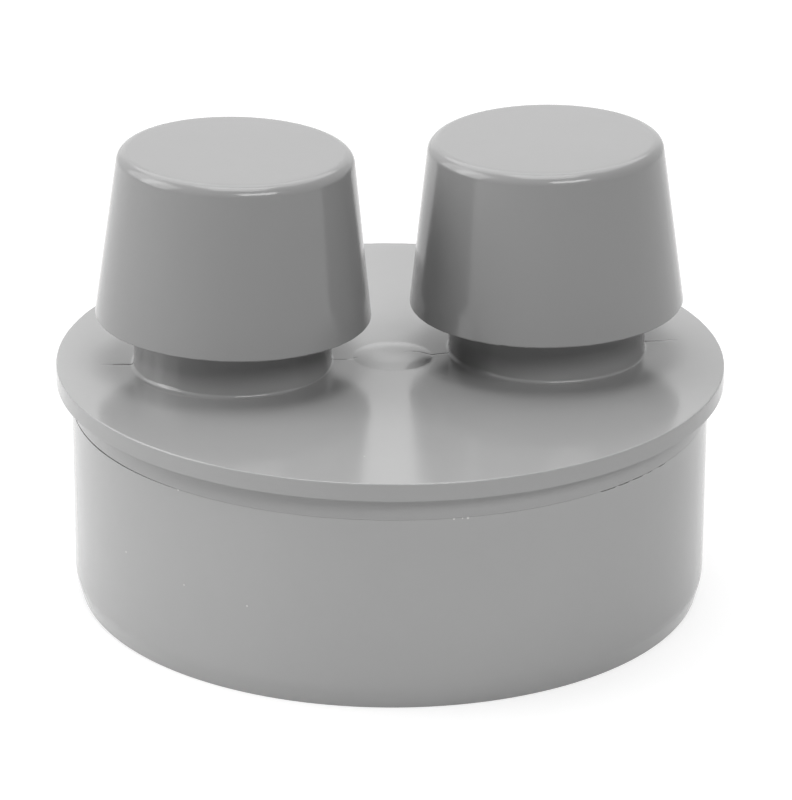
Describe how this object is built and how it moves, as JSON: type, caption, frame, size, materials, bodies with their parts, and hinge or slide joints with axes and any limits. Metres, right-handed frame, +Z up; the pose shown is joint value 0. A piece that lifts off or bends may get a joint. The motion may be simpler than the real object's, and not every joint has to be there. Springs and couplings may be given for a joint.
{
  "type": "air admittance valve",
  "caption": "Grey plastic air admittance valve with a plain spigot, a flanged plate and a pair of tapered capped heads, each with a lifting rubber diaphragm inside.",
  "frame": {"origin": "centre of the spigot's lower edge, on the surface that the valve stands on", "axes": "+Z up along the spigot's axis, +X along the row of heads from the left cap to the right cap"},
  "size_m": [0.1154, 0.1154, 0.0804],
  "materials": {
    "plate_plastic": "satin grey, as moulded",
    "spigot_plastic": "satin grey, as moulded",
    "cap_plastic": "satin grey, as moulded",
    "insert_plastic": "natural white, as moulded",
    "carrier_plastic": "natural white, as moulded",
    "screen_plastic": "dark grey, as moulded",
    "diaphragm_rubber": "matt black",
    "seal_rubber": "matt black"
  },
  "bodies": {
    "housing": {"valve_plate": "plate_plastic", "spigot_sleeve": "spigot_plastic", "cap_left": "cap_plastic", "cap_right": "cap_plastic", "seat_insert_left": "insert_plastic", "seat_insert_right": "insert_plastic", "neck_seal_left": "seal_rubber", "neck_seal_right": "seal_rubber", "cap_seal_left": "seal_rubber", "cap_seal_right": "seal_rubber", "insect_screen_left": "screen_plastic", "insect_screen_right": "screen_plastic"},
    "lifting_disc_left": {"diaphragm_left": "diaphragm_rubber", "carrier_left": "carrier_plastic"},
    "lifting_disc_right": {"diaphragm_right": "diaphragm_rubber", "carrier_right": "carrier_plastic"}
  },
  "joints": [
    {"name": "left_diaphragm_lift", "type": "slide", "parent": "housing", "child": "lifting_disc_left", "axis": [0.0223, 0, 0.9998], "range_m": [0, 0.004]},
    {"name": "right_diaphragm_lift", "type": "slide", "parent": "housing", "child": "lifting_disc_right", "axis": [-0.0223, 0, 0.9998], "range_m": [0, 0.004]}
  ]
}
